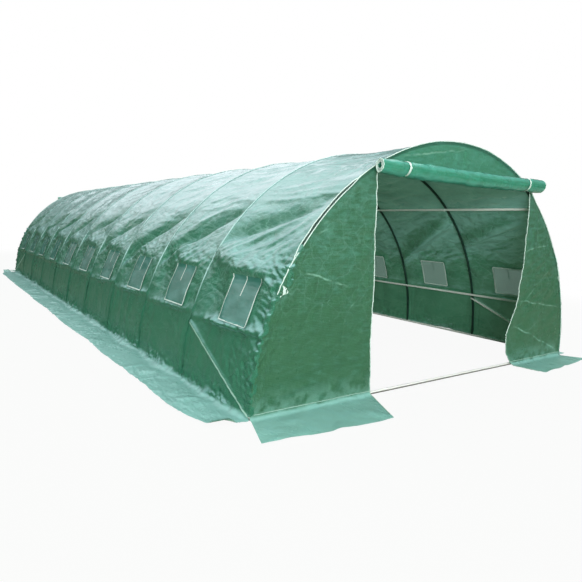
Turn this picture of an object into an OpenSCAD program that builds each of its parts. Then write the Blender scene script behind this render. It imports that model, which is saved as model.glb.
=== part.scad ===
// Walk-in polytunnel greenhouse: steel hoops and purlins under one sewn sheet cover.
// +Z is up, the tunnel runs along Y, and the origin is on the ground under its middle.

/* [Tunnel] */
// Width across the outside of the hoops, twice the height
tunnel_w = 4000; // [3200:50:4800]
// Length over the two end hoops
tunnel_l = 10000; // [8000:100:12000]
// Number of bays between neighbouring hoops
bays = 10; // [6:1:12]

/* [Steel frame] */
// Outside diameter of the hoops, purlins and ground rails
tube_d = 25; // [20:1:32]
// Height of the side purlins' centre line
side_purlin_h = 525; // [400:5:600]
// Height of the upper purlins' centre line
upper_purlin_h = 1525; // [1100:5:1550]
// Outside diameter of the diagonal corner braces
brace_d = 20; // [16:1:25]
// Height of a brace's foot above the ground
brace_foot_h = 50; // [45:1:90]
// How far a brace's top stays under the side purlin
brace_drop = 44; // [30:1:80]
// How far each brace runs on past the hoop it is fixed to
brace_over = 6; // [2:1:6]

/* [Cover] */
// Thickness that stands for the woven sheet and its hems
cover_t = 3; // [2:0.5:4]
// Width of the skirt that lies flat on the ground
skirt_w = 350; // [250:10:450]
// How far the end skirts reach out past the side of the tunnel
skirt_corner = 110; // [60:5:150]

/* [Windows] */
// Width of a window along the tunnel
window_w = 340; // [250:5:420]
// Height of a window measured round the arch
window_h = 320; // [250:5:360]
// Height of a window's lower edge above the ground
window_sill_h = 590; // [560:5:700]
// How far the left windows sit from the middle of their bay
window_off_left = -130; // [-140:5:140]
// How far the right windows sit from the middle of their bay
window_off_right = 30; // [-140:5:140]
// How far a flap covers the sheet round its window
flap_lap = 20; // [10:1:40]
// Thickness of the mesh screen in a window
screen_t = 2; // [1:0.5:2]

/* [Doorways] */
// Height of the sheet between the door head and the crown
cap_h = 300; // [250:10:400]
// How far each door edge stands in from the arch at the door head
door_inset = 33; // [25:1:120]
// How far the doorways sit to the right of the middle
door_shift = 50; // [0:5:60]
// Diameter of the rolled-up door
roll_d = 120; // [80:1:150]
// How far the roll reaches past each edge of the doorway
roll_over = 45; // [20:1:60]
// Height of the roll's centre line above the door head
roll_rise = 30; // [0:1:40]
// Width of the straps that hold the roll up
tie_w = 26; // [20:1:50]
// Distance of each strap from the end of the roll
tie_inset = 255; // [150:5:400]

/* [Hidden] */
// Clearance between pieces that rest on each other
seat_gap = 0.3;
SIDES = ["left", "right"];
ENDS = ["front", "rear"];

hoop_out = tunnel_w / 2;
hoop_mid = hoop_out - tube_d / 2;
hoop_in = hoop_out - tube_d;
hoop_y = tunnel_l / 2 - tube_d / 2;
bay_l = 2 * hoop_y / bays;
foot_h = tube_d + seat_gap;
foot_a = asin(foot_h / hoop_in);

purlin_r = hoop_in - seat_gap - tube_d / 2;

brace_r = hoop_in - seat_gap - brace_d / 2;
brace_top_h = side_purlin_h - brace_drop;

cover_in = hoop_out + seat_gap;
cover_out = cover_in + cover_t;
cover_l = tunnel_l + 2 * (seat_gap + cover_t);
gable_y = tunnel_l / 2 + seat_gap;
gable_face = gable_y + cover_t;

window_a = asin(window_sill_h / cover_in);
window_span = window_h / cover_in * 180 / PI;
flap_a = flap_lap / cover_in * 180 / PI;
gap_a = seat_gap / cover_in * 180 / PI;

door_h = hoop_out - cap_h;
door_half = sqrt(hoop_out * hoop_out - door_h * door_h) - door_inset;
roll_l = 2 * (door_half + roll_over);
roll_y = gable_face + cover_t + 2 * seat_gap + roll_d / 2;
roll_z = door_h + roll_rise;

// Draws a right-hand piece, or its mirror image on the left
module on_side(s) {
    mirror([s == "left" ? 1 : 0, 0, 0]) children();
}

// Draws a rear piece, or its mirror image at the front
module at_end(e) {
    mirror([0, e == "front" ? 1 : 0, 0]) children();
}

// Part of a ring round the tunnel's axis, from one angle above the ground to another
module arch_band(r, t, l, from_a, to_a) {
    rotate([90, 0, 0])
        rotate([0, 0, from_a])
            rotate_extrude(angle = to_a - from_a, $fn = 360)
                translate([r, -l / 2])
                    square([t, l]);
}

// One bent hoop, standing on the ground rails
module hoop(i) {
    color("darkgreen")
        translate([0, -hoop_y + (i - 1) * bay_l, 0])
            rotate([90, 0, 0])
                rotate([0, 0, foot_a])
                    rotate_extrude(angle = 180 - 2 * foot_a, $fn = 180)
                        translate([hoop_mid, 0])
                            circle(d = tube_d, $fn = 48);
}

// A tube along the whole tunnel, fixed under the hoops at the given height
module purlin(h) {
    color("gainsboro")
        translate([sqrt(purlin_r * purlin_r - h * h), 0, h])
            rotate([90, 0, 0])
                cylinder(d = tube_d, h = tunnel_l, center = true, $fn = 48);
}

// Ground rail under the feet of the hoops
module base_rail() {
    color("silver")
        translate([hoop_mid, 0, tube_d / 2])
            rotate([90, 0, 0])
                cylinder(d = tube_d, h = tunnel_l, center = true, $fn = 48);
}

// Ground tube across an end, between the two rails
module sill() {
    color("silver")
        translate([0, hoop_y, tube_d / 2])
            rotate([0, 90, 0])
                cylinder(d = tube_d, h = 2 * (hoop_in - seat_gap), center = true, $fn = 48);
}

// Diagonal tube from the foot of the end hoop up to the next hoop
module brace() {
    low = [sqrt(brace_r * brace_r - brace_foot_h * brace_foot_h), hoop_y, brace_foot_h];
    high = [sqrt(brace_r * brace_r - brace_top_h * brace_top_h), hoop_y - bay_l, brace_top_h];
    run = high - low;
    l = norm(run);
    color("gainsboro")
        translate(low)
            rotate([0, acos(run.z / l), atan2(run.y, run.x)])
                translate([0, 0, -brace_over])
                    cylinder(d = brace_d, h = l + 2 * brace_over, $fn = 48);
}

// Window shapes along one side: a band of the given radius and thickness at each window
module window_row(s, r, t, grow_l, grow_a) {
    off = s == "left" ? window_off_left : window_off_right;
    on_side(s)
        for (i = [0 : bays - 1])
            translate([0, -hoop_y + (i + 0.5) * bay_l + off, 0])
                arch_band(r, t, window_w + 2 * grow_l, window_a - grow_a, window_a + window_span + grow_a);
}

// One sheet over all the hoops, down to the skirts, with the windows cut out
module cover() {
    foot = asin(cover_t / cover_in);
    color("mediumseagreen")
        difference() {
            arch_band(cover_in, cover_t, cover_l, foot, 180 - foot);
            for (s = SIDES)
                window_row(s, cover_in - cover_t, 3 * cover_t, 0, 0);
        }
}

module window_screens(s) {
    color("lightsteelblue")
        window_row(s, cover_in, screen_t, -seat_gap, -gap_a);
}

module window_flaps(s) {
    color("lightcyan")
        window_row(s, cover_out + seat_gap, cover_t, flap_lap, flap_a);
}

// Outline of the sheet that closes an end, inside the cover's edge
module gable_outline() {
    intersection() {
        circle(r = hoop_out, $fn = 360);
        translate([-hoop_out, cover_t])
            square([2 * hoop_out, hoop_out]);
    }
}

// Stands a flat outline up as a sheet against the rear hoop
module gable_sheet() {
    translate([0, gable_face, 0])
        rotate([90, 0, 0])
            linear_extrude(height = cover_t)
                children();
}

// Sheet between the doorway and the side of the tunnel
module end_panel(e, s) {
    edge = door_half + (s == "left" ? -door_shift : door_shift);
    color("seagreen")
        at_end(e) on_side(s) gable_sheet()
            intersection() {
                gable_outline();
                translate([edge, 0])
                    square([hoop_out, door_h]);
            }
}

// Sheet above the door head
module end_cap() {
    color("mediumseagreen")
        gable_sheet()
            intersection() {
                gable_outline();
                translate([-hoop_out, door_h])
                    square([2 * hoop_out, cap_h]);
            }
}

// Door sheet rolled up and tied at the door head
module door_roll() {
    color("seagreen")
        translate([door_shift, roll_y, roll_z])
            rotate([0, 90, 0])
                cylinder(d = roll_d, h = roll_l, center = true, $fn = 48);
}

// Two straps round the rolled door
module door_ties() {
    color("white")
        for (side = [-1, 1])
            translate([door_shift + side * (roll_l / 2 - tie_inset), roll_y, roll_z])
                rotate([0, 90, 0])
                    rotate_extrude($fn = 96)
                        translate([roll_d / 2 + seat_gap, -tie_w / 2])
                            square([cover_t, tie_w]);
}

// Strip of the cover that lies on the ground along one side
module side_skirt() {
    color("aquamarine")
        translate([cover_in, -tunnel_l / 2, 0])
            cube([skirt_w, tunnel_l, cover_t]);
}

// Strip of the end panel that lies on the ground in front of it
module end_skirt(e, s) {
    edge = door_half + (s == "left" ? -door_shift : door_shift);
    color("aquamarine")
        at_end(e) on_side(s)
            translate([edge, gable_y, 0])
                cube([hoop_out + skirt_corner - edge, skirt_w, cover_t]);
}

for (i = [1 : bays + 1])
    hoop(i);
purlin(purlin_r);  // ridge_purlin
for (s = SIDES) {
    on_side(s) purlin(upper_purlin_h);
    on_side(s) purlin(side_purlin_h);
    on_side(s) base_rail();
    window_screens(s);
    window_flaps(s);
    on_side(s) side_skirt();
}
for (e = ENDS) {
    at_end(e) sill();
    at_end(e) end_cap();
    at_end(e) door_roll();
    at_end(e) door_ties();
    for (s = SIDES) {
        at_end(e) on_side(s) brace();
        end_panel(e, s);
        end_skirt(e, s);
    }
}
cover();
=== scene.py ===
# A walk-in polytunnel greenhouse: half-round steel hoops under a green woven sheet.
# The sections follow the object as it is put together, from the ground rails to the door rolls.
import math

import bmesh
import bpy
import numpy as np
from mathutils import Matrix, Vector


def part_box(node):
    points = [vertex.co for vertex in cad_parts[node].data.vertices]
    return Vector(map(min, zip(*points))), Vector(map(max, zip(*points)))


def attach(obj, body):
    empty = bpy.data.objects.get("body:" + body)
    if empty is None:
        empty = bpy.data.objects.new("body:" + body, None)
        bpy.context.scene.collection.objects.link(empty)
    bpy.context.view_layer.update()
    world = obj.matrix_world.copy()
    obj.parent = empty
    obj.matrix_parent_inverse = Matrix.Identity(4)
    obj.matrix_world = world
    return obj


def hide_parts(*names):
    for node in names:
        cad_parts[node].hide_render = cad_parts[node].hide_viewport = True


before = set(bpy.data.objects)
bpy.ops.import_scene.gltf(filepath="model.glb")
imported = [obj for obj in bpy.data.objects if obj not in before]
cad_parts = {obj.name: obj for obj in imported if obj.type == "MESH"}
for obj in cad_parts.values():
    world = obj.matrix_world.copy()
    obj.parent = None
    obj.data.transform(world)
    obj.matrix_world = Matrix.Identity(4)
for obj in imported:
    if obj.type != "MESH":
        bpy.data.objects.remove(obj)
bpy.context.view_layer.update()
scene = bpy.context.scene

# Camera: at a standing person's chest height off the front left corner, looking
# along the left side of the tunnel and in through the front doorway.
camera_data = bpy.data.cameras.new("camera")
camera_data.sensor_width = 36.0
camera_data.lens = 30.78
camera_data.shift_x = 0.0835
camera_data.shift_y = 0.0012
camera = bpy.data.objects.new("camera", camera_data)
yaw, pitch, roll = math.radians(-32.52), math.radians(-7.68), math.radians(2.06)
ahead = Vector((-math.sin(yaw) * math.cos(pitch), math.cos(yaw) * math.cos(pitch), math.sin(pitch)))
level = Vector((math.cos(yaw), math.sin(yaw), 0.0))
upright = level.cross(ahead)
across = math.cos(roll) * level + math.sin(roll) * upright
above = math.cos(roll) * upright - math.sin(roll) * level
standing_at = Matrix.Translation((-3.743, -7.599, 1.279))
camera.matrix_world = standing_at @ Matrix((across, above, -ahead)).transposed().to_4x4()
scene.collection.objects.link(camera)
scene.camera = camera
scene.view_settings.view_transform = "Standard"


# Hoops: eleven half rings of bent steel tube, powder coated dark green. Their feet
# stand on the ground rails. The paint is satin, dusty and slightly uneven.
class Value:
    """A number or colour that varies over a surface. Arithmetic on it adds Math nodes."""

    def __init__(self, paint, socket):
        self.paint, self.socket = paint, socket

    def maths(self, operation, *values):
        return self.paint.node("Math", values or [self], operation=operation)

    def __add__(self, other):
        return self.maths("ADD", self, other)

    def __radd__(self, other):
        return self.maths("ADD", other, self)

    def __sub__(self, other):
        return self.maths("SUBTRACT", self, other)

    def __rsub__(self, other):
        return self.maths("SUBTRACT", other, self)

    def __mul__(self, other):
        return self.maths("MULTIPLY", self, other)

    def __rmul__(self, other):
        return self.maths("MULTIPLY", other, self)

    def __truediv__(self, other):
        return self.maths("DIVIDE", self, other)

    def __pow__(self, other):
        return self.maths("POWER", self, other)

    def ramp(self, low, high):
        """0 below low, 1 above high, and smooth between them."""
        inputs = {0: self, 1: low, 2: high}
        return self.paint.node("MapRange", inputs, interpolation_type="SMOOTHSTEP")


class Paint:
    """A look under construction: node() adds any node, and the rest are short forms of it."""

    def __init__(self, name, owners=bpy.data.materials):
        self.owner = owners.new(name)
        self.owner.use_nodes = True
        self.tree = self.owner.node_tree
        self.tree.nodes.clear()

    def node(self, kind, inputs=(), output=0, **settings):
        made = self.tree.nodes.new("ShaderNode" + kind)
        for name, value in settings.items():
            setattr(made, name, value)
        for key, value in inputs.items() if isinstance(inputs, dict) else enumerate(inputs):
            if isinstance(value, Value):
                self.tree.links.new(value.socket, made.inputs[key])
            else:
                made.inputs[key].default_value = value
        return Value(self, made.outputs[output])

    def place(self, kind="Object"):
        return self.node("TexCoord", output={"Generated": 0, "UV": 2, "Object": 3}[kind])

    def stretch(self, place, scale):
        return self.node("Mapping", {"Vector": place, "Scale": scale})

    def axis(self, place, which):
        return self.node("SeparateXYZ", [place], "XYZ".index(which))

    def noise(self, place, scale, detail=4.0, rough=0.55):
        inputs = {"Vector": place, "Scale": scale, "Detail": detail, "Roughness": rough}
        return self.node("TexNoise", inputs)

    def ridge(self, place, scale):
        """Sharp creases: high where a noise passes through its middle, and low away from it."""
        return 1 - (self.noise(place, scale, 5.0, 0.6) * 2 - 1).maths("ABSOLUTE") ** 0.7

    def facets(self, place, scale):
        """Flat facets between sharp bent creases: 0 on a crease, and highest amid a facet."""
        noise = {"Vector": place, "Scale": scale * 0.6, "Detail": 3.0}
        wander = self.node("TexNoise", noise, 1)
        inputs = [wander, (1.6 / scale,) * 3, place]
        bent = self.node("VectorMath", inputs, operation="MULTIPLY_ADD")
        cell = {"Vector": bent, "Scale": scale}
        return self.node("TexVoronoi", cell, feature="DISTANCE_TO_EDGE")

    def threads(self, every, low, high):
        """A woven grid: high on the threads, which lie one every so many metres along the cloth."""
        cloth = self.place("UV")
        waves = [(self.axis(cloth, a) * (2 * math.pi / every)).maths("COSINE") for a in "XY"]
        return waves[0].maths("MAXIMUM", *waves).ramp(low, high)

    def mix(self, share, first, second):
        return self.node("Mix", {0: share, 6: first, 7: second}, 2, data_type="RGBA")

    def blend(self, share, first, second):
        return self.node("MixShader", [share, first, second])

    def bump(self, height, strength, distance):
        inputs = {"Strength": strength, "Distance": distance, "Height": height}
        return self.node("Bump", inputs)

    def surface(self, **inputs):
        named = {name.replace("_", " ").title(): value for name, value in inputs.items()}
        fixed = {"Specular Ior Level": "Specular IOR Level", "Ior": "IOR"}
        named = {fixed.get(name, name): value for name, value in named.items()}
        return self.node("BsdfPrincipled", named)

    def done(self, shader, kind="Material"):
        out = self.tree.nodes.new("ShaderNodeOutput" + kind)
        self.tree.links.new(shader.socket, out.inputs[0])
        return self.owner


def hoop_paint():
    paint = Paint("dark_green_paint")
    place = paint.place()
    dust = paint.noise(place, 9.0).ramp(0.45, 0.75)
    colour = paint.mix(dust * 0.35, (0.012, 0.040, 0.028, 1), (0.06, 0.11, 0.085, 1))
    grain = paint.noise(place, 420.0, 2.0)
    return paint.done(
        paint.surface(
            base_color=colour,
            roughness=dust * 0.25 + 0.36,
            normal=paint.bump(grain, 0.25, 0.0006),
        )
    )


def dress(node, material):
    """Gives a CAD node its finish."""
    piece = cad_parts[node]
    piece.data.materials.clear()
    piece.data.materials.append(material)


hoop_nodes = sorted((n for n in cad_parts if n.startswith("hoop_")), key=lambda n: int(n[5:]))
hoop_finish = hoop_paint()
for name in hoop_nodes:
    dress(name, hoop_finish)


# Purlins, rails, sills and braces: straight zinc-coated tubes. The five purlins are bolted
# inside the hoops, and the rails and sills lie on the ground, the sills painted dark along their lower
# half: painted shade of their undersides, with soil.
def zinc_coat():
    paint = Paint("zinc_coated_steel")
    place = paint.place()
    spangle = paint.node("TexVoronoi", {"Vector": place, "Scale": 70.0}, 1)
    stain = paint.noise(paint.stretch(place, (3.0, 0.7, 3.0)), 3.0).ramp(0.42, 0.72)
    zinc = paint.mix(0.05, (0.93, 0.92, 0.86, 1), spangle)
    colour = paint.mix(stain * 0.3, zinc, (0.68, 0.66, 0.56, 1))
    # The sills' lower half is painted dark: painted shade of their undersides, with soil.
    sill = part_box("rear_sill")
    at_end = paint.axis(place, "Y").maths("ABSOLUTE").ramp(sill[0].y - 0.002, sill[0].y)
    shade_and_soil = (1 - paint.axis(place, "Z").ramp(0.5 * sill[1].z, 0.85 * sill[1].z)) * at_end
    colour = paint.mix(shade_and_soil * 0.9, colour, (0.10, 0.09, 0.07, 1))
    return paint.done(
        paint.surface(
            base_color=colour,
            roughness=stain * 0.2 + 0.3,
            normal=paint.bump(paint.noise(place, 160.0), 0.15, 0.0008),
        )
    )


zinc = zinc_coat()
steel_nodes = [
    name
    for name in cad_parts
    if name.endswith(("_purlin", "_sill")) or name.startswith(("upper_", "side_", "base_", "brace_"))
]
for name in steel_nodes:
    dress(name, zinc)


def middle_of(node, axis):
    """The middle of a CAD node along axis 0, 1 or 2."""
    low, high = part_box(node)
    return (low[axis] + high[axis]) / 2


hoop_ys = [middle_of(name, 1) for name in hoop_nodes]
purlin_nodes = [f"{row}_purlin_{side}" for row in ("upper", "side") for side in ("left", "right")]
# A washer and a bolt head: diameter, thickness, sides, and where it starts off the tube.
discs, sunk = ((0.018, 0.0015, 20, 0.0), (0.013, 0.0055, 6, 0.0015)), 0.0008
bolts = bmesh.new()
for name in ["ridge_purlin"] + purlin_nodes:
    low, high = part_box(name)
    middle = (low + high) / 2
    inward = Vector((-middle.x, 0, -middle.z)).normalized()
    for y in hoop_ys:
        for diameter, thick, sides, start in discs:
            from_middle = (high.z - low.z) / 2 + start + thick / 2 - sunk
            centre = Vector((middle.x, y, middle.z)) + inward * from_middle
            facing = inward.to_track_quat("Z", "X").to_matrix().to_4x4()
            bmesh.ops.create_cone(
                bolts,
                cap_ends=True,
                segments=sides,
                radius1=diameter / 2,
                radius2=diameter / 2,
                depth=thick,
                matrix=Matrix.Translation(centre) @ facing,
            )
bolt_mesh = bpy.data.meshes.new("purlin_bolts")
bolts.to_mesh(bolt_mesh)
bolt_mesh.materials.append(zinc)
purlin_bolts = bpy.data.objects.new("purlin_bolts", bolt_mesh)
scene.collection.objects.link(purlin_bolts)
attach(purlin_bolts, "root")


# Cover: one woven plastic sheet over the hoops, sewn from a panel for each bay. It is
# stretched over the tubes, sags between them, hangs in a pouch over each window, and
# runs out at its foot into a skirt that lies on the ground. Its windows are cut out.
half_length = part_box("ridge_purlin")[1].y
hoop_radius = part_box(hoop_nodes[0])[1].z
bay_length = hoop_ys[1] - hoop_ys[0]
bays = len(hoop_ys) - 1
sheet_radius = hoop_radius + 0.0015
quarter = sheet_radius * math.pi / 2
skirt_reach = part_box("skirt_right")[1].x - sheet_radius
foot_bend = 0.035
purlin_height = middle_of("side_purlin_right", 2)
screen_low, screen_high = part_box("window_screens_right")
window_low = sheet_radius * math.asin(screen_low.z / sheet_radius)
window_high = sheet_radius * math.asin(screen_high.z / sheet_radius)
purlin_ring = hoop_radius - 0.0378
purlin_places = [
    sheet_radius * math.asin(min(1, middle_of(name, 2) / purlin_ring))
    for name in ("side_purlin_right", "upper_purlin_right", "ridge_purlin")
]


def first_window(side):
    """Where the first window of a side starts and ends along the tunnel."""
    low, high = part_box("window_screens_" + side)
    return low.y, high.y - (bays - 1) * bay_length


windows = {side: first_window(side) for side in ("left", "right")}


def noise(u, v, seed):
    """A smooth random field of two coordinates, from about -1 to 1, with features one unit across."""
    size = 128
    angle = np.random.default_rng(seed).uniform(0, 2 * np.pi, (size, size))
    i, j = np.floor(u).astype(int), np.floor(v).astype(int)
    du, dv = u - i, v - j

    def corner(a, b):
        turn = angle[(i + a) % size, (j + b) % size]
        return np.cos(turn) * (du - a) + np.sin(turn) * (dv - b)

    su, sv = du**3 * (du * (6 * du - 15) + 10), dv**3 * (dv * (6 * dv - 15) + 10)
    low = corner(0, 0) + su * (corner(1, 0) - corner(0, 0))
    high = corner(0, 1) + su * (corner(1, 1) - corner(0, 1))
    return 1.5 * (low + sv * (high - low))


def smooth(x, low, high):
    t = np.clip((x - low) / (high - low), 0, 1)
    return t * t * (3 - 2 * t)


def hump(x, middle, width):
    return np.exp(-(((x - middle) / width) ** 2))


def folds(y, h, slope, width, length, seed):
    """Folds in a sheet that run along a slope: crests are narrow and the valleys between them wide."""
    turn = np.arctan(slope)
    along = y * np.cos(turn) + h * np.sin(turn)
    over = h * np.cos(turn) - y * np.sin(turn)
    bend = 0.5 * noise(along / length, over / (3 * width), seed + 1)
    return 0.6 - 1.9 * np.abs(noise(along / length, over / width + bend, seed)) ** 0.8


def slit(h):
    """1 where the end hoop is bare between the cover and the end sheet, and 0 elsewhere."""
    return smooth(h, 1.10, 1.22) * (1 - smooth(h, 1.80, 1.95))


def sheet_lift(y, s):
    """How far the sheet stands out from the hoops' arc: y along the tunnel, s round the arch."""
    left = s < 0
    h = quarter - np.abs(s)
    u = np.clip((y - hoop_ys[0]) / bay_length, 0, bays - 1e-6)
    bay = np.floor(u)
    t = u - bay
    free = 4 * t * (1 - t)
    near = np.minimum(t, 1 - t) * bay_length

    def vary(k):
        return noise(bay * 1.37 + 0.5, np.where(left, 0.4, 7.7) + k * 2.9, 5 + k)

    start = np.where(left, windows["left"][0], windows["right"][0]) + bay * bay_length
    across_window = (y - start) / (windows["left"][1] - windows["left"][0]) - 0.5
    # The sag between two hoops, then the slanting valley above a window and the pouch over it.
    lift = -free * (0.009 * smooth(h, 0.0, 0.25) + 0.014 * smooth(h, 1.0, 1.9))
    valley = np.where(bay == 0, 1.71 - 0.50 * t, 1.60 - (0.66 + 0.15 * vary(1)) * t + 0.10 * vary(2))
    deep = 0.078 * (1 + 0.4 * vary(3) * (bay > 0)) * free**0.5
    lift -= deep * hump(h, valley, np.where(h > valley, 0.14, 0.06))
    pouch = 1.0 + 0.05 * vary(8) + 0.06 * across_window + 0.05 * noise(y / 0.22, 0 * y + 3.5, 19)
    full = (0.036 + 0.016 * (bay == 0)) * (1 + 0.7 * vary(4)) * free**0.6
    lift += full * hump(h, pouch, np.where(h > pouch, 0.15, 0.13))
    window = (1 - smooth(np.abs(across_window), 0.5, 0.75)) * smooth(h, window_low - 0.06, window_low)
    framed = window * (1 - smooth(h, window_high - 0.01, window_high + 0.06))
    middle = smooth(h, 0.88, 1.0) * (1 - smooth(h, 1.4, 1.8)) * (1 - 0.75 * hump(h, valley + 0.11, 0.10))
    slope = np.where(left, -0.72, -0.35) * (1 + 0.3 * vary(5))
    # Slanting folds on the shoulder, from broad to narrow: width, length, height and seed.
    shoulder = ((0.17, 0.8, 0.016, 20), (0.08, 0.5, 0.010, 24), (0.045, 0.25, 0.004, 28))
    for size, long, amount, seed in shoulder:
        patch = smooth(noise(y / 0.45 + 0.7 * h, h / 0.22, seed + 8), -0.45, 0.5)
        lift += amount * folds(y, h, slope, size, long, seed) * patch * middle * (0.35 + 0.65 * free)
    # The line of a corner brace, small creases in the pouches, and the crumpled corners.
    rise = np.where(y < 0, t, 1 - t) * 0.46 + 0.03
    braced = ((bay == 0) | (bay == bays - 1)) & (h < 0.55)
    straight = 1 - 0.9 * braced * hump(h, rise, 0.06)
    lens = folds(y, h, 0.15, 0.06, 0.14, 44) * 0.007 + folds(y, h, -0.6, 0.04, 0.10, 47) * 0.004
    lift += lens * hump(h, 1.0, np.where(h > 1.0, 0.17, 0.22)) * (0.3 + 0.7 * free)
    corner = hump(half_length - np.abs(y), 0.24, 0.17) * hump(h, 0.28, 0.2) * straight
    lift += (folds(y, h, 1.6, 0.06, 0.14, 50) * 0.012 + folds(y, h, 0.4, 0.03, 0.07, 52) * 0.006) * corner
    # Long shallow streaks over the roof, and a hollow on each side of a window.
    calm = smooth(noise(y / 0.6, h / 0.3, 39), -0.3, 0.6)
    streak = folds(y, h, -0.10, 0.16, 0.7, 33) * 0.011 + folds(y, h, -0.3, 0.07, 0.3, 36) * 0.005 * calm
    lift += streak * smooth(h, 1.3, 1.7) * (0.25 + 0.75 * free)
    beside = hump(across_window, 1.15, 0.42) + 0.6 * hump(across_window, -1.05, 0.3)
    lift -= 0.030 * (1 + 0.6 * vary(6)) * beside * hump(h, 0.78, 0.15) * free**0.5
    # Low on the wall: upright drapes, and pleats beside each hoop.
    drape = folds(h * 0.5, y + 0.25 * h, 0.0, 0.33, 0.6, 61) * 0.010
    ribbed = smooth(noise(y / 0.5, h / 0.4, 65), -0.2, 0.6)
    drape += folds(h * 0.6, y - 0.15 * h, 0.0, 0.10, 0.3, 63) * 0.002 * ribbed
    lift += drape * straight * (1 - smooth(h, 0.5, 0.8)) * smooth(h, 0.02, 0.2)
    pleat = folds(h * 0.4, y + 0.05 * h, 0.0, 0.045, 0.4, 66) * np.exp(-near / 0.07)
    lift += 0.018 * straight * pleat * (1 - smooth(h, 0.38, 0.55)) * smooth(h, 0.03, 0.12)
    # The ledge where the sheet hangs over the side purlin, and the crumpled cloth below it.
    ledge_h = purlin_height + 0.03 - 0.015 * across_window + 0.012 * noise(y / 0.15, 0 * y + 0.5, 69)
    ledge = hump(h, ledge_h, np.where(h > ledge_h, 0.045, 0.016))
    bunch = 0.014 + (0.024 + 0.026 * (bay == 0)) * hump(across_window, -0.1, 0.95) * (1 + 0.5 * vary(7))
    lift += bunch * ledge * (0.5 + 0.5 * free) * (1 + 0.5 * noise(y / 0.06, h / 0.03, 70))
    crumple = noise(y / 0.08, h / 0.05, 71) * (0.3 + np.abs(noise(y / 0.4, h / 0.4, 72)))
    lift += (0.003 + 0.020 * (1 - smooth(h, 0.04, 0.2))) * crumple * smooth(h, 0.02, 0.06)
    # Gathers above the foot, and pinched folds where the cover is sewn to the end hoop.
    gathers = np.maximum(folds(h, y, 0.4, 0.06, 0.15, 97), 0)
    gathers = gathers + 0.5 * np.maximum(folds(h, y, -0.6, 0.03, 0.1, 98), 0)
    gathered = smooth(noise(y / 0.3, np.sign(s) * 8.0, 99), -0.5, 0.4)
    lift += 0.035 * gathers * hump(h, 0.05, 0.07) * gathered * straight
    end = half_length - np.abs(y)
    pinch = folds(end + 0.3 * h, h - 0.4 * end, 0.0, 0.05, 0.16, 74)
    pinch = pinch + 0.6 * folds(h, end, 0.6, 0.03, 0.08, 76)
    sewn = (1 - smooth(h, 1.05, 1.2)) * smooth(h, 0.03, 0.1) * (0.6 + 0.5 * hump(h, 1.0, 0.16))
    lift += np.where(left, 0.042, 0.012) * pinch * np.exp(-end / 0.11) * sewn * smooth(end, -0.015, 0.012)
    lift += np.where(braced, 0.014 * hump(h, rise, 0.016), 0)
    # A window lies straight in its frame, and the sheet never sinks into a purlin or a hoop.
    lift += (0.004 - lift) * framed
    for purlin in purlin_places:
        on_purlin = -0.0225 - 2.0 * np.maximum(np.abs(h - purlin) - 0.022, 0)
        lift = np.maximum(lift, on_purlin)
    on_hoop = -0.001 - 1.2 * np.maximum(near - 0.013, 0)
    return np.maximum(lift, on_hoop)


def sheet_place(y, s, off=0.0):
    """The sheet's points: round the hoops, through a soft bend at the foot, and out over the ground."""
    h = quarter - np.abs(s)
    t = np.clip((y - hoop_ys[0]) / bay_length, 0, bays - 1e-6) % 1
    bend = 0.012 + (0.075 + 0.06 * noise(y / 0.8, np.sign(s) * 3.0, 81)) * (4 * t * (1 - t)) ** 0.7
    bend = bend + 0.028 * noise(y / 0.14, np.sign(s) * 5.0, 82)
    bend = bend + 0.016 * noise(y / 0.05, np.sign(s) * 6.0, 85)
    bend = np.maximum(bend, 0.006)
    around = h / sheet_radius
    turn = np.clip((bend - h) / bend, 0, math.pi / 2)
    out = np.maximum(bend - h - bend * math.pi / 2, 0)
    on_arc = h >= bend
    reach = 1 + 0.06 * noise(y / 0.9, np.sign(s) * 1.7, 83) + 0.02 * noise(y / 0.25, np.sign(s) * 2.7, 84)
    drawn_in = np.where(s > 0, 0.65, 0.22) * (1 - smooth(half_length - np.abs(y), 0.05, 0.5))
    reach = skirt_reach * (reach - drawn_in)
    laid = skirt_reach + (foot_bend - bend) * (math.pi / 2 - 1)
    x = sheet_radius + bend * (1 - np.cos(turn)) + out * np.maximum(reach - bend, 0.03) / laid
    x = np.where(on_arc, sheet_radius * np.cos(around), x)
    z = np.where(on_arc, sheet_radius * np.sin(around), bend * (1 - np.sin(turn)))
    nx = np.where(on_arc, np.cos(around), np.cos(turn))
    nz = np.where(on_arc, np.sin(around), np.sin(turn))
    lift = sheet_lift(y, s) * (h > 0.02) + off
    ripple = 0.010 * noise(y / 0.35, h / 0.5, 91) + 0.006 * noise(y / 0.11, h / 0.2, 92)
    ripple += 0.02 * np.maximum(folds(h, y, 0.3, 0.22, 0.6, 93), 0) * smooth(out, 0.0, 0.1) * 0.6
    ripple += 0.007 * np.maximum(folds(y, h, 0.5, 0.05, 0.13, 95), 0)
    ground = 0.003 + np.maximum(ripple, 0) * smooth(out, 0.0, 0.06)
    ground = ground + 0.04 * np.exp(-(half_length - np.abs(y)) / 0.05) * smooth(out, 0.1, 0.2) * (s < 0)
    x = x + nx * lift
    z = np.maximum(z + nz * lift, 0) + ground * smooth(-h, -0.08, 0.0)
    return np.stack([np.sign(s) * x, y + 0 * x, z], axis=-1)


def link(name, mesh, material):
    mesh.polygons.foreach_set("use_smooth", np.ones(len(mesh.polygons), bool))
    mesh.materials.append(material)
    piece = bpy.data.objects.new(name, mesh)
    scene.collection.objects.link(piece)
    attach(piece, "root")
    return piece


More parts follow.
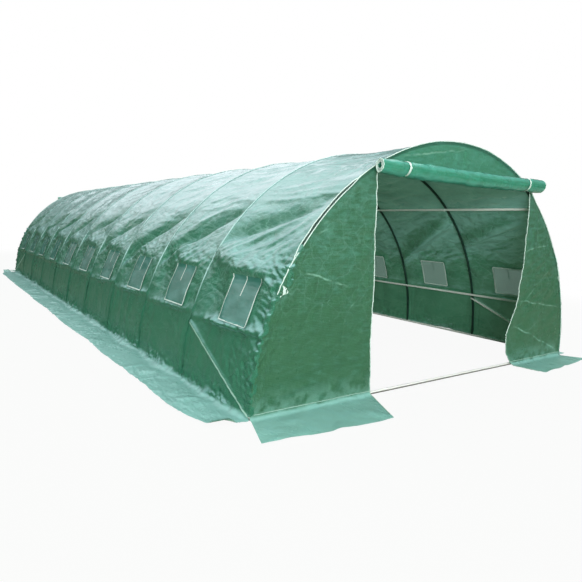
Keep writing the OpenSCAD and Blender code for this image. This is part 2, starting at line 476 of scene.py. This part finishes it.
def sheet_mesh(name, points, uv, material, keep=None):
    """A piece made from a grid of points, without the cells where keep is false."""
    index = np.arange(points.shape[0] * points.shape[1]).reshape(points.shape[:2])
    cells = np.stack([index[:-1, :-1], index[1:, :-1], index[1:, 1:], index[:-1, 1:]], axis=-1)
    cells = cells[keep] if keep is not None else cells.reshape(-1, 4)
    used, cells = np.unique(cells, return_inverse=True)
    cells = cells.reshape(-1, 4)
    mesh = bpy.data.meshes.new(name)
    mesh.from_pydata(points.reshape(-1, 3)[used].tolist(), [], cells.tolist())
    layer = mesh.uv_layers.new(name="cloth")
    layer.data.foreach_set("uv", uv.reshape(-1, 2)[used][cells.ravel()].astype(np.float32).ravel())
    return link(name, mesh, material)


def stations(marks, step):
    """Places between the marks, each mark kept, no further apart than step."""
    marks = sorted(marks)
    places = [marks[0]]
    for low, high in zip(marks, marks[1:]):
        count = max(1, math.ceil((high - low) / step - 1e-6))
        places += [low + (high - low) * k / count for k in range(1, count + 1)]
    return np.array(places)


def woven_sheet(name, shade, pale, marks=None, crumpled=1.0, clear=0.0):
    """Green woven plastic: a grid of threads, a painted sheen of the sky where it faces up and stands
    high, dust, gloss, and light through it.
    """
    paint = Paint(name)
    place = paint.place()
    height = paint.axis(place, "Z")
    upward = paint.axis(paint.node("NewGeometry", output=1), "Z").maths("ABSOLUTE")
    cloudy = paint.noise(paint.stretch(place, (1.0, 0.5, 1.0)), 2.2)
    dusty = paint.noise(paint.stretch(place, (1.0, 0.6, 1.0)), 8.0).ramp(0.32, 0.68)
    streaky = paint.noise(paint.stretch(place, (0.2, 0.2, 1.0)), 45.0).ramp(0.3, 0.7)
    # Paler where the sheet faces up and higher up: a painted sheen of the sky, mixed with random dust,
    # streaks and grain.
    sheen_and_dust = upward.ramp(0.15, 0.95) * 0.85 + height.ramp(0.5, 1.9) * 0.25
    grain = paint.noise(paint.stretch(place, (0.6, 1.0, 1.0)), 170.0).ramp(0.35, 0.65)
    sheen_and_dust = sheen_and_dust + cloudy * 0.3 + dusty * 0.18 + streaky * (0.50 - 0.40 * crumpled) + grain * 0.16 - 0.40
    colour = paint.mix(sheen_and_dust.ramp(0.0, 1.0), shade, pale)
    # Where the sheet lies on the ground it is painted paler: painted sky light on the skirts.
    flat = 1 - (height + dusty * 0.03 - 0.015).ramp(0.01, 0.04)
    colour = paint.mix(flat * (dusty * 0.25 + 0.7), colour, (0.30, 0.60, 0.53, 1))
    calm = (height.ramp(0.5, 0.85) * (1 - height.ramp(1.2, 1.8) * 0.6) * 0.75 + 0.25) * crumpled
    large = paint.facets(paint.stretch(place, (1.0, 0.6, 1.0)), 6.0)
    small = paint.facets(paint.stretch(place, (1.0, 0.6, 1.0)), 15.0)
    # The pale lines along the creases are painted highlights on their crests.
    crease = (1 - large.ramp(0.0, 0.035)) * 0.6 + (1 - small.ramp(0.0, 0.05)) * 0.4
    colour = paint.mix(crease * calm * 0.3, colour, (0.40, 0.72, 0.64, 1))
    if marks:
        colour = marks(paint, place, colour)
    grid = paint.threads(0.012, 0.84, 1.0)
    colour = paint.mix(grid * 0.12, colour, (0.30, 0.66, 0.52, 1))
    broad = paint.ridge(paint.stretch(place, (1.0, 0.55, 1.0)), 5.0)
    relief = (broad * 0.6 + large * 1.1 + small * 0.3) * calm + grid * 0.008
    lit = paint.surface(
        base_color=colour,
        specular_ior_level=0.5,
        roughness=cloudy * 0.12 + 0.22,
        coat_weight=height.ramp(0.6, 1.6) * 0.8,
        coat_roughness=0.15,
        normal=paint.bump(relief, 0.9, 0.025),
    )
    glow = paint.node("BsdfTranslucent", {"Color": (0.11, 0.25, 0.16, 1)})
    solid = paint.blend(dusty * 0.06 + broad * 0.12 + 0.07, lit, glow)
    if clear:
        solid = paint.blend(clear, solid, paint.node("BsdfTransparent"))
    return paint.done(solid)


def brace_shows(paint, place, colour):
    """The pale line where the sheet lies against a corner brace: painted light, the brace seen through
    the sheet and the highlight on the ridge it lifts.
    """
    from_end = half_length - paint.axis(place, "Y").maths("ABSOLUTE")
    off_line = (paint.axis(place, "Z") - from_end * 0.45 - 0.025).maths("ABSOLUTE")
    line = (1 - off_line.ramp(0.007, 0.013)) * (1 - from_end.ramp(0.98, 1.0))
    return paint.mix(line * 0.85, colour, (0.55, 0.82, 0.68, 1))


def overhang(h):
    """How far past its edge line the cover reaches at an end: less where the hoop is bare."""
    return 0.006 - 0.019 * slit(h)


green_sheet = woven_sheet(
    "green_woven_sheet", (0.034, 0.18, 0.098, 1), (0.23, 0.48, 0.44, 1), brace_shows
)
cover_end = half_length + 0.003
ends_s = quarter + skirt_reach + foot_bend * (math.pi / 2 - 1)
marks_s = [0.0, quarter - window_low, quarter - window_high, quarter - 0.05, quarter, ends_s]
for i in range(bays):
    low = -cover_end if i == 0 else hoop_ys[i]
    high = cover_end if i == bays - 1 else hoop_ys[i + 1]
    cuts = [y + i * bay_length for side in windows for y in windows[side]]
    step = 0.012 if i < 4 else 0.02
    along_y = stations([low, high] + cuts, step)
    arch_s = stations([-m for m in marks_s[1:]] + marks_s, step)
    y, s = np.meshgrid(along_y, arch_s, indexing="ij")
    mid_y, mid_s = (y[1:, 1:] + y[:-1, :-1]) / 2, (s[1:, 1:] + s[:-1, :-1]) / 2
    mid_h = quarter - np.abs(mid_s)
    keep = np.ones(mid_y.shape, bool)
    for side in windows:
        start, end = (edge + i * bay_length for edge in windows[side])
        here = (mid_s < 0) if side == "left" else (mid_s > 0)
        keep &= ~(here & (mid_y > start) & (mid_y < end) & (mid_h > window_low) & (mid_h < window_high))
    ends = smooth(np.abs(y), half_length - 0.05, half_length)
    points = sheet_place(y + np.sign(y) * overhang(quarter - np.abs(s)) * ends, s)
    cloth = np.stack([y, s], axis=-1)
    bay = sheet_mesh(f"cover_bay_{i + 1}", points, cloth, green_sheet, keep)
    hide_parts("cover", "skirt_left", "skirt_right")


# Seams: a tape is sewn over the cover at each hoop, where two panels meet. It is
# painted pale over the roof, partly a painted highlight along the hoop, and darker green towards
# the ground. A white cord binds the cover's edge at both ends, from the shoulder up.
def tape_cloth(name, upper_colour, lower_colour, low, high):
    paint = Paint(name)
    place = paint.place()
    # The upper colour takes over with height: the webbing's darker foot is dirt, and the seam tape's pale
    # top is a painted highlight.
    wear_and_sheen = paint.noise(place, 14.0) * 0.5 + paint.axis(place, "Z").ramp(low, high) - 0.25
    weave = paint.noise(place, 900.0, 1.0)
    return paint.done(
        paint.surface(
            base_color=paint.mix(wear_and_sheen.ramp(0.0, 0.9), lower_colour, upper_colour),
            roughness=0.45,
            normal=paint.bump(weave, 0.3, 0.0005),
        )
    )


def tube(name, path, radius, material, sides=8):
    """A round cord along a path."""
    path = np.asarray(path)
    ahead = np.gradient(path, axis=0)
    ahead /= np.linalg.norm(ahead, axis=1, keepdims=True)
    flat = np.cross(ahead, (0.31, 0.83, 0.46))
    flat /= np.linalg.norm(flat, axis=1, keepdims=True)
    third = np.cross(ahead, flat)
    turn = np.linspace(0, 2 * np.pi, sides + 1)
    ring = flat[:, None] * np.cos(turn)[None, :, None] + third[:, None] * np.sin(turn)[None, :, None]
    points = path[:, None] + radius * ring
    uv = np.stack(np.meshgrid(np.arange(len(path)) * 0.01, turn * radius, indexing="ij"), axis=-1)
    return sheet_mesh(name, points, uv, material)


white_tape = tape_cloth("white_webbing", (0.62, 0.74, 0.66, 1), (0.30, 0.48, 0.38, 1), 0.0, 0.5)
# The seam tape's pale upper colour is a painted highlight along the hoop.
seam_tape = tape_cloth("seam_tape", (0.40, 0.64, 0.58, 1), (0.018, 0.13, 0.07, 1), 0.45, 1.05)
tape_half = quarter - 0.05
width = np.array([-0.008, -0.007, 0.0, 0.007, 0.008])
stand = np.array([0.002, 0.0042, 0.005, 0.0042, 0.002])
for i, y in enumerate(hoop_ys[1:-1]):
    s = stations([-tape_half, 0.0, tape_half], 0.012)
    across_y, s = np.meshgrid(y + width, s, indexing="ij")
    points = sheet_place(across_y, s, stand[:, None])
    tape = sheet_mesh(f"seam_tape_{i + 1}", points, np.stack([across_y, s], axis=-1), seam_tape)

cord_radius = 0.0035
for end, y_sign in (("front", -1), ("rear", 1)):
    for side, sign in (("left", -1), ("right", 1)):
        h = np.arange(0.86, quarter, 0.02)
        path = sheet_place(y_sign * (cover_end + overhang(h)), sign * (quarter - h), 0.002)
        cord = tube(f"{end}_cover_hem_{side}", path, cord_radius, white_tape)


# Cover ends: below the bare stretch the cover turns round the end hoop, and its crumpled
# edge lies on the end sheet. A short cord binds the loose edge under its wide top, and
# on the left a patch of tape is sewn on there.
turn_radius = 0.013
turn_length = turn_radius * math.pi / 2
edge_low, edge_high = 0.03, 1.24
bound, patched = 80, slice(85, 91)
for end, y_sign in (("front", -1), ("rear", 1)):
    for side, sign in (("left", -1), ("right", 1)):
        seed = 120 + (20 if end == "rear" else 0) + (10 if side == "right" else 0)
        up = stations([edge_low, edge_high], 0.01)
        share, h = np.meshgrid(stations([0, 1], 0.08), up, indexing="ij")
        ragged = noise(h / 0.13, 0 * h + 0.5, seed) + 0.7 * noise(h / 0.04, 0 * h + 0.5, seed + 1)
        wide = 0.016 + 0.014 * ragged
        ear = 0.052 * smooth(h, 0.86, 0.90) * (1 - smooth(h, 0.94, 1.20)) * (side == "left")
        wide = np.maximum(wide * (1 - smooth(h, 0.8, 0.9)), 0.006) + ear
        along = share * (wide + turn_length)
        angle = np.minimum(along / turn_radius, math.pi / 2)
        flat_part = np.maximum(along - turn_length, 0)
        crumple = 0.5 + noise(h / 0.05, along / 0.03, seed + 2)
        crumple = crumple + 0.5 * noise(h / 0.02, along / 0.02, seed + 3)
        rise = 0.014 * np.maximum(crumple, 0) * smooth(share, 0.15, 0.5) * (0.4 + hump(h, 1.0, 0.2))
        rise = rise * (1 - 0.75 * hump(h, 0.92, 0.07)) * (1.0 if side == "left" else 0.3)
        inward = turn_radius * (1 - np.cos(angle)) + flat_part
        outward = turn_radius * np.sin(angle) + rise
        start_y = y_sign * (half_length - 0.007) + 0 * h
        edge = sheet_place(start_y, sign * (quarter - h), 0.0015)
        around = h / sheet_radius
        turned = [-sign * np.cos(around) * inward, y_sign * outward, -np.sin(around) * inward]
        points = edge + np.stack(turned, axis=-1)
        cloth = np.stack([start_y + along, h], axis=-1)
        fold = sheet_mesh(f"{end}_cover_edge_{side}", points, cloth, green_sheet)
        path = sum(points[-1, bound + k : bound + 6 + k] for k in range(5)) / 5
        sewn_on = [tube(f"{end}_cover_edge_hem_{side}", path, 0.003, white_tape)]
        if side == "left":
            spot = points[6:, patched] + (0, y_sign * 0.003, 0)
            name = f"{end}_cover_edge_patch"
            sewn_on.append(sheet_mesh(name, spot, cloth[6:, patched], white_tape))
        for piece in [fold] + sewn_on:
            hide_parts("cover")
        float((wide + turn_length).mean())


# Windows: a mesh screen is sewn into each opening, with a white border inside. Outside
# it a see-through flap hangs from the top edge, with white tape on its other edges and
# a tie for rolling it up.
def clear_sheet():
    paint = Paint("clear_window_sheet")
    place = paint.place()
    cloudy = paint.noise(paint.stretch(place, (1.0, 0.5, 1.0)), 9.0).ramp(0.35, 0.7)
    colour = paint.mix(cloudy, (0.06, 0.26, 0.20, 1), (0.15, 0.42, 0.36, 1))
    lit = paint.surface(
        base_color=colour,
        roughness=0.16,
        normal=paint.bump(paint.ridge(paint.stretch(place, (1.0, 0.5, 1.0)), 14.0), 0.4, 0.012),
    )
    glow = paint.node("BsdfTranslucent", {"Color": (0.16, 0.40, 0.34, 1)})
    through = paint.node("BsdfTransparent")
    return paint.done(paint.blend(0.22, paint.blend(0.35, lit, glow), through))


def window_mesh():
    paint = Paint("insect_mesh")
    thread = paint.threads(0.003, 0.3, 0.9)
    colour = paint.mix(thread, (0.10, 0.22, 0.17, 1), (0.28, 0.42, 0.36, 1))
    lit = paint.surface(base_color=colour, roughness=0.6)
    glow = paint.node("BsdfTranslucent", {"Color": (0.22, 0.36, 0.30, 1)})
    through = paint.node("BsdfTransparent")
    return paint.done(paint.blend(0.22, paint.blend(0.45, lit, glow), through))


def bundle(name, pieces):
    """Several pieces joined into one."""
    with bpy.context.temp_override(active_object=pieces[0], selected_editable_objects=pieces):
        bpy.ops.object.join()
    pieces[0].name = name
    return pieces[0]


screen_cloth, flap_sheet = window_mesh(), clear_sheet()
border_out, border_in = 0.009, 0.005
flap_lap, tape_width, tie_length = 0.018, 0.010, 0.15
for side, sign in (("left", -1), ("right", 1)):
    for i in range(bays):
        start, end = (edge + i * bay_length for edge in windows[side])

        def patch(name, span, stand, slack, material):
            """A piece over a span of the sheet. It stands off it, and hangs looser further down."""
            along, up = stations(span[:2], 0.02), stations(span[2:], 0.02)
            y, h = np.meshgrid(along, up, indexing="ij")
            drop = (window_high - h) / (window_high - window_low)
            drop = np.maximum(drop + 0.8 * noise(y / 0.12, h / 0.15, 101 + i) * (drop + 0.3), 0)
            points = sheet_place(y, sign * (quarter - h), slack * drop + stand)
            return sheet_mesh(name, points, np.stack([y, h], axis=-1), material)

        def tapes(name, node, slack, spans):
            """White tapes over spans of the sheet, each with its own stand, joined into one."""
            strips = [patch(name, span, stand, slack, white_tape) for *span, stand in spans]
            joined = bundle(name, strips)
            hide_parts(node)
            return joined

        screens, flaps = f"window_screens_{side}", f"window_flaps_{side}"
        low, high = window_low, window_high
        screen = patch(f"window_screen_{side}_{i + 1}", (start, end, low, high), -0.001, 0, screen_cloth)
        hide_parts(screens)
        inside = (
            (start - border_out, start + border_in, low, high, -0.003),
            (end - border_in, end + border_out, low, high, -0.003),
            (start, end, low - border_out, low + border_in, -0.003),
            (start, end, high - border_in, high + border_out, -0.003),
        )
        border = tapes(f"screen_border_{side}_{i + 1}", screens, 0, inside)
        size = (end - start, high - low)
        low, high = low - flap_lap, high + flap_lap
        left, right = start - flap_lap, end + flap_lap
        tie_from, tie_to = (start + end) / 2 - tape_width / 2, (start + end) / 2 + tape_width / 2
        outside = (
            (left, start - 0.008, low, high, 0.0045),
            (end + 0.008, right, low, high, 0.0045),
            (left, right, low, low + tape_width, 0.0045),
            (tie_from, tie_to, high - tie_length, high, 0.006),
        )
        tape = tapes(f"flap_tape_{side}_{i + 1}", flaps, 0.006, outside)
        flap = patch(f"window_flap_{side}_{i + 1}", (left, right, low, high), 0.003, 0.006, flap_sheet)
        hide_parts(flaps)
        size = (end - start + 2 * flap_lap, high - low)


# Creases in the end sheets: x and z where each starts, x and z where it ends, and its height.
creases = (
    (-0.74, 1.817, 0.06, 1.955, 0.012),
    (-1.66, 0.99, -1.16, 0.85, 0.014),
    (-1.19, 0.69, -1.04, 0.80, 0.008),
    (-1.55, 1.22, -1.34, 1.30, 0.008),
    (-1.50, 1.30, -1.28, 1.34, 0.008),
    (1.05, 0.655, 1.88, 0.53, 0.012),
    (1.03, 0.41, 1.95, 0.06, 0.014),
    (1.05, 1.11, 1.57, 1.20, 0.010),
    (1.20, 0.62, 1.62, 0.95, 0.007),
    (1.30, 0.30, 1.55, 0.45, 0.007),
)


def hoop_shows(paint, place, colour):
    """The dark band where the sheet lies on the end hoop, painted shade of the hoop behind the sheet;
    pale crease lines, painted highlights on their crests; and a splashed foot.
    """
    wander = paint.noise(place, 5.0) * 0.06 - 0.03
    x, z = paint.axis(place, "X"), paint.axis(place, "Z")
    off_line = ((x**2.0 + z**2.0).maths("SQRT") - hoop_radius + 0.0125).maths("ABSOLUTE")
    tight = (x + z).ramp(0.0, 0.4)
    wear_and_sheen = paint.noise(place, 12.0).ramp(0.35, 0.6)
    # Pale lines along the creases: painted highlights on their crests.
    for x0, z0, x1, z1, size in creases:
        length = math.hypot(x1 - x0, z1 - z0)
        step_x, step_z = (x1 - x0) / length, (z1 - z0) / length
        apart = ((x - x0) * step_z - (z - z0) * step_x + wander).maths("ABSOLUTE")
        part = (x - x0) * step_x + (z - z0) * step_z
        line = (1 - apart.ramp(0.002, 0.010)) * part.ramp(0.0, 0.12)
        line = line * (1 - part.ramp(length - 0.12, length))
        colour = paint.mix(line * wear_and_sheen * min(0.5, size * 40), colour, (0.36, 0.68, 0.52, 1))
    splashed = (1 - (z + wander).ramp(0.02, 0.24)) * wear_and_sheen * 0.42
    colour = paint.mix(splashed, colour, (0.26, 0.52, 0.42, 1))
    # Painted shade: the dark end hoop behind the sheet darkens it where it lies on it.
    band = (1 - off_line.ramp(0.008, 0.014)) * tight * 0.5
    return paint.mix(band, colour, (0.010, 0.060, 0.035, 1))


gable_sheet = woven_sheet(
    "green_end_sheet", (0.040, 0.140, 0.064, 1), (0.13, 0.38, 0.29, 1), hoop_shows, 0.5
)
gable_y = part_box("front_panel_left")[0].y
door_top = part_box("front_panel_left")[1].z
door_edges = {"left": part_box("front_panel_left")[1].x, "right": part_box("front_panel_right")[0].x}
end_reach = gable_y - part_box("front_skirt_left")[0].y

# The outer edge of each end skirt, from the arch to the door: how far out in x, and in y.
across_stops = [0, 0.45, 1]
skirt_x = {"left": [2.13, 1.64, 1.10], "right": [2.13, 1.62, 1.13]}
skirt_y = {"left": [0.31, 0.37, 0.41], "right": [0.20, 0.26, 0.29]}


def gable_wave(x, z, seed):
    """How far an end sheet stands out from its plane: sags and creases between its ties."""
    wave = 0.010 * noise(x / 0.5, z / 0.7, seed) + 0.004 * folds(z, x, 0.15, 0.16, 0.6, seed + 1)
    wave = wave + 0.004 * folds(x, z, 0.3, 0.09, 0.5, seed + 3)
    wave = wave + 0.002 * folds(x, z, -0.2, 0.04, 0.2, seed + 5)
    for x0, z0, x1, z1, size in creases:
        run_x, run_z = x1 - x0, z1 - z0
        part = np.clip(((x - x0) * run_x + (z - z0) * run_z) / (run_x**2 + run_z**2), 0, 1)
        gap = np.hypot(x - x0 - part * run_x, z - z0 - part * run_z - 0.02 * np.sin(3 * part))
        crest = np.exp(-gap / 0.012) - 0.5 * np.exp(-gap / 0.04)
        wave = wave + size * crest * smooth(part * (1 - part), 0.0, 0.1)
    return wave


def door_edge(side, z, seed):
    """Where the door edge of an end panel hangs at a height."""
    if side == "left":
        edge = door_edges["left"] + 0.085 * (1 - z / door_top)
    else:
        heights = [0.0, 0.12, 0.32, 0.62, 1.0, door_top]
        edge = np.interp(z, heights, [1.08, 0.985, 0.945, 1.06, 1.10, door_edges["right"]])
        edge = edge - 0.02 * hump(z, 0.22, 0.15)
    waves = 0.006 * noise(z / 0.09, 0 * z + 0.5, seed) + 0.010 * noise(z / 0.3, 0 * z + 0.5, seed + 1)
    return edge + waves * (z > 0)


def panel_place(side, v, w, seed):
    """A point of an end panel: v runs from the arch to the door edge, w from the top down and out."""
    sign = -1 if side == "left" else 1
    z = np.clip(w, 0, None)
    bare = 0.011 * slit(hoop_radius * np.arcsin(np.clip(z / hoop_radius, 0, 1)))
    arch = np.sqrt(np.maximum((hoop_radius + 0.001 - bare) ** 2 - z**2, 0)) * sign
    edge = door_edge(side, z, seed)
    x = arch + v * (edge - arch)
    bend = 0.03 + 0.012 * noise(x / 0.3, 0 * x + 0.5, seed + 7)
    turn = np.clip((bend - w) / bend, 0, math.pi / 2)
    out = np.maximum(bend - w - bend * math.pi / 2, 0) / end_reach
    far_x = np.interp(v, across_stops, skirt_x[side]) * sign
    far_y = np.interp(v, across_stops, skirt_y[side])
    x = x + out * (far_x - x)
    on_wall = w >= bend
    height = np.where(on_wall, z, bend * (1 - np.sin(turn)))
    stand = np.where(on_wall, 0, bend * (1 - np.cos(turn))) + out * far_y
    gap = v * np.abs(edge - arch)
    wave = gable_wave(x, w, seed) * smooth(gap, 0.0, 0.12) + 0.002
    loose = np.maximum(folds(z, x, 0.3, 0.05, 0.14, seed + 12), 0)
    loose = loose + 0.5 * np.maximum(folds(x, z, 1.2, 0.03, 0.09, seed + 14), 0)
    loose = loose * np.exp(-gap / 0.08) * smooth(gap, 0.004, 0.02) * (0.030 if side == "left" else 0.008)
    wave = wave + loose * smooth(z, 0.03, 0.1) * (1 - smooth(z, 1.05, 1.2))
    ripple = 0.012 * noise(x / 0.25, out * 1.4, seed + 9) + 0.006 * noise(x / 0.1, out * 3, seed + 10)
    ripple = np.maximum(ripple, 0)
    stand = stand + wave * np.where(on_wall, 1, np.cos(turn))
    height = np.maximum(height, 0) + (0.0035 + ripple * smooth(out, 0, 0.3)) * (1 - smooth(w, 0.0, 0.05))
    return np.stack([x, gable_y - stand, height], axis=-1)


def to_rear(piece):
    """Turns a piece made for the front end into its mirror image at the rear end."""
    mesh = piece.data
    mesh.transform(Matrix.Scale(-1, 4, (0, 1, 0)))
    mesh.flip_normals()


for end, start_seed in (("front", 200), ("rear", 300)):
    for side in ("left", "right"):
        seed = start_seed + (0 if side == "left" else 40)
        v = np.concatenate([stations([0, 0.12], 0.008), stations([0.12, 1], 0.022)[1:]])
        w = stations([-end_reach, 0.0, 0.05, door_top], 0.016)
        grid_v, grid_w = np.meshgrid(v, w, indexing="ij")
        points = panel_place(side, grid_v, grid_w, seed)
        cloth = points[..., [0, 2]] + points[..., [1]]
        panel = sheet_mesh(f"{end}_panel_sheet_{side}", points, cloth, gable_sheet)
        foot = panel_place(side, stations([0.03, 1], 0.02), 0.035, seed) + (0, -0.002, 0.002)
        band = tube(f"{end}_foot_hem_{side}", foot, 0.003, white_tape)
        edge = points[-1] + (0, -0.002, 0)
        hem = tube(f"{end}_door_hem_{side}", edge[4:], 0.0036, white_tape)
        rim = points[0][w > (0.9 if side == "left" else 0.05)] + (0, -0.002, 0)
        cord = tube(f"{end}_arch_hem_{side}", rim, cord_radius, white_tape)
        for piece in (panel, hem, cord, band):
            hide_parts(f"{end}_panel_{side}", f"{end}_skirt_{side}")
            if end == "rear":
                to_rear(piece)


# Caps: the half-moon sheet over each doorway, stretched between the crown of the end
# hoop and the door head. It has a green hem on its arch.
# The cap is painted lighter than the end panels of the same sheet: painted light on its high place.
cap_sheet = woven_sheet(
    "green_cap_sheet", (0.05, 0.24, 0.13, 1), (0.10, 0.38, 0.28, 1), hoop_shows, 0.4, 0.15
)
for end, seed in (("front", 400), ("rear", 420)):
    v = stations([-1, 1], 0.018)
    w = stations([0, 1], 0.06)
    v, w = np.meshgrid(v, w, indexing="ij")
    low = door_top - 0.004
    half = math.sqrt(hoop_radius**2 - low**2)
    x = v * half
    top = np.sqrt(np.maximum((hoop_radius + 0.001) ** 2 - x**2, low**2))
    z = low + w * (top - low)
    free = np.sqrt(np.clip(w * (1 - w) * 4, 0, 1))
    stand = 0.002 + gable_wave(x, z, seed) * 0.7 * free * smooth(1 - np.abs(v), 0, 0.2)
    points = np.stack([x, gable_y - stand, z], axis=-1)
    cap = sheet_mesh(f"{end}_cap_sheet", points, points[..., [0, 2]], cap_sheet)
    rim = tube(f"{end}_cap_hem", points[2:-2, -1] + (0, -0.001, -0.001), 0.003, green_sheet)
    for piece in (cap, rim):
        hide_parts(f"{end}_cap")
        if end == "rear":
            to_rear(piece)
    half * (hoop_radius - low) * 4 / 3


# Doors: each door is one sheet as wide as the doorway, rolled up outwards to the door
# head. Its ends show the turns of the roll, bound in white tape, and two straps hold it.
rolled_sheet = woven_sheet(
    "rolled_green_sheet", (0.03, 0.24, 0.13, 1), (0.07, 0.42, 0.30, 1), crumpled=0.5
)
roll_low, roll_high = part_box("front_door_roll")
roll_y, roll_z = middle_of("front_door_roll", 1), middle_of("front_door_roll", 2)
roll_radius = (roll_high.z - roll_low.z) / 2
tie_low, tie_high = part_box("front_door_ties")
strap_places = (tie_low.x + 0.018, tie_high.x - 0.018)
strap_lean = 0.012
turns, layer = 7.0, 0.0040
for end, seed in (("front", 500), ("rear", 520)):

    def roll_place(x, angle, inward, off=0.0):
        """A point of the roll: where it is along the doorway, its angle, and its depth in the turns."""
        part = (x - roll_low.x) / (roll_high.x - roll_low.x)
        sag = -0.014 * 4 * part * (1 - part) + 0.004 * noise(x / 0.5, 0 * x, seed)
        slim = 0.20 * np.exp(-(x - roll_low.x) / 0.12) + 0.06 * np.exp((x - roll_high.x) / 0.12)
        size = (roll_radius + 0.003) * (1 - slim) - inward + off
        size = size * (1 + 0.06 * noise(x / 0.3, np.cos(angle) * 0.7, seed + 1) * (inward < 0.012))
        wrinkle = folds(x, angle * 0.06, 0.5, 0.035, 0.22, seed + 3)
        wrinkle = wrinkle + 0.6 * folds(x, angle * 0.06, 2.5, 0.03, 0.1, seed + 5)
        size = size + 0.004 * wrinkle * (inward < 0.003)
        squeeze = 1 - 0.10 * (hump(x, strap_places[0], 0.05) + hump(x, strap_places[1], 0.05))
        thin = 1 - 0.3 * np.exp(-(x - roll_low.x) / 0.08)
        depth = np.minimum(roll_y + size * squeeze * np.cos(angle) * thin, gable_y - 0.003)
        return np.stack([x, depth, roll_z + sag + size * squeeze * np.sin(angle)], axis=-1)

    outer, inner = np.arange(0, 2, 1 / 40), np.arange(2, turns, 1 / 20)
    angle = np.concatenate([outer, inner]) * 2 * math.pi
    xs = stations([roll_low.x, roll_high.x], 0.025)
    x, turn = np.meshgrid(xs, angle, indexing="ij")
    uneven = 0.002 * noise(turn / 9, 0 * turn + 0.5, seed + 2) * np.sign(x)
    points = roll_place(x + uneven, -turn, layer * turn / (2 * math.pi))
    points[:, 0, 2] += 0.03
    cloth = np.stack([x, turn * 0.035], axis=-1)
    door = sheet_mesh(f"{end}_rolled_door", points, cloth, rolled_sheet)
    bindings = []
    for k, past in ((0, -0.001), (-1, 0.001)):
        for rim, thick in ((points[k, :60], 0.0026), (points[k, 60:], 0.0011)):
            bindings.append(tube("hem", rim + (past, 0, 0), thick, white_tape, 6))
    corner = Vector((door_edges["left"], gable_y - 0.008, door_top - 0.01))
    under = Vector(points[0][np.argmin(points[0, : len(outer), 2])])
    tail = [
        under.lerp(corner, k / 8) + Vector((0, -0.012 * math.sin(math.pi * k / 8), 0))
        for k in range(9)
    ]
    bindings.append(tube("tail", tail, 0.005, white_tape))
    binding = bundle(f"{end}_door_binding", bindings)
    for piece in (door, binding):
        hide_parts(f"{end}_door_roll")
        if end == "rear":
            to_rear(piece)
    straps = []
    for middle in strap_places:
        turn = np.linspace(0, 2 * math.pi, 41)
        across_x = np.array([-0.011, -0.004, 0.004, 0.011])
        offset, turn = np.meshgrid(across_x, turn, indexing="ij")
        x = middle + offset + strap_lean * np.sin(turn)
        points = roll_place(x, turn, 0 * x, 0.0025)
        cloth = np.stack([offset, turn * 0.05], axis=-1)
        straps.append(sheet_mesh(f"{end}_door_strap", points, cloth, white_tape))
    ties = bundle(f"{end}_door_straps", straps)
    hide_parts(f"{end}_door_ties")
    if end == "rear":
        to_rear(ties)


# Studio: a pale floor that turns white away from the tunnel, a white surround, and soft
# light from above, from high behind, and on the front and the right wall. Only the first
# two lamps show in the sheet's gloss.
floor_mesh = bpy.data.meshes.new("floor")
floor_mesh.from_pydata([(-60, -60, 0), (60, -60, 0), (60, 90, 0), (-60, 90, 0)], [], [(0, 1, 2, 3)])
floor = bpy.data.objects.new("floor", floor_mesh)
scene.collection.objects.link(floor)
paint = Paint("floor")
place = paint.place()
away = paint.axis(place, "X") ** 2.0 / 40.0 + paint.axis(place, "Y") ** 2.0 / 110.0
sight = paint.node("LightPath") * (away.ramp(0.8, 2.0) * 0.06 + 0.94)
plain = paint.node("BsdfDiffuse", {"Color": (0.26, 0.31, 0.23, 1)})
white = paint.node("Emission", {"Color": (1, 1, 1, 1), "Strength": 1.0})
floor_mesh.materials.append(paint.done(paint.blend(sight, plain, white)))

surround = Paint("surround", bpy.data.worlds)
up = surround.axis(surround.place("Generated"), "Z")
rise = surround.node("MapRange", {"Value": up, "From Min": 0.0, "From Max": 0.5})
shade = surround.mix(rise, (0.36, 0.55, 0.42, 1), (0.90, 0.97, 1.0, 1))
sky = surround.node("Background", {"Color": shade, "Strength": 0.30})
seen = surround.node("Background", {"Color": (1, 1, 1, 1), "Strength": 1.0})
to_camera = surround.node("LightPath")
scene.world = surround.done(surround.blend(to_camera, sky, seen), "World")


def soft_light(name, place, target, width, height, power, tint=(0.93, 0.97, 1.0)):
    data = bpy.data.lights.new(name, "AREA")
    data.shape = "RECTANGLE"
    data.size, data.size_y, data.energy = width, height, power
    data.color = tint
    lamp = bpy.data.objects.new(name, data)
    lamp.location = place
    lamp.rotation_euler = (Vector(target) - Vector(place)).to_track_quat("-Z", "Y").to_euler()
    lamp.visible_glossy = name in ("overhead", "behind")
    scene.collection.objects.link(lamp)


soft_light("overhead", (-1, -1, 10), (0, 0, 0), 18, 20, 1560)
soft_light("behind", (0, 18, 12), (0, -4, 1), 34, 9, 1400, (0.90, 0.93, 1.0))
soft_light("front", (3, -15, 8), (0, -5, 1), 10, 6, 700)
soft_light("doorway", (-7, -13, 2.6), (1.5, -2, 0.9), 5, 2.5, 900)
soft_light("right", (11, 3, 3.5), (2, 1, 0.8), 14, 4, 850, (1.0, 0.93, 0.76))
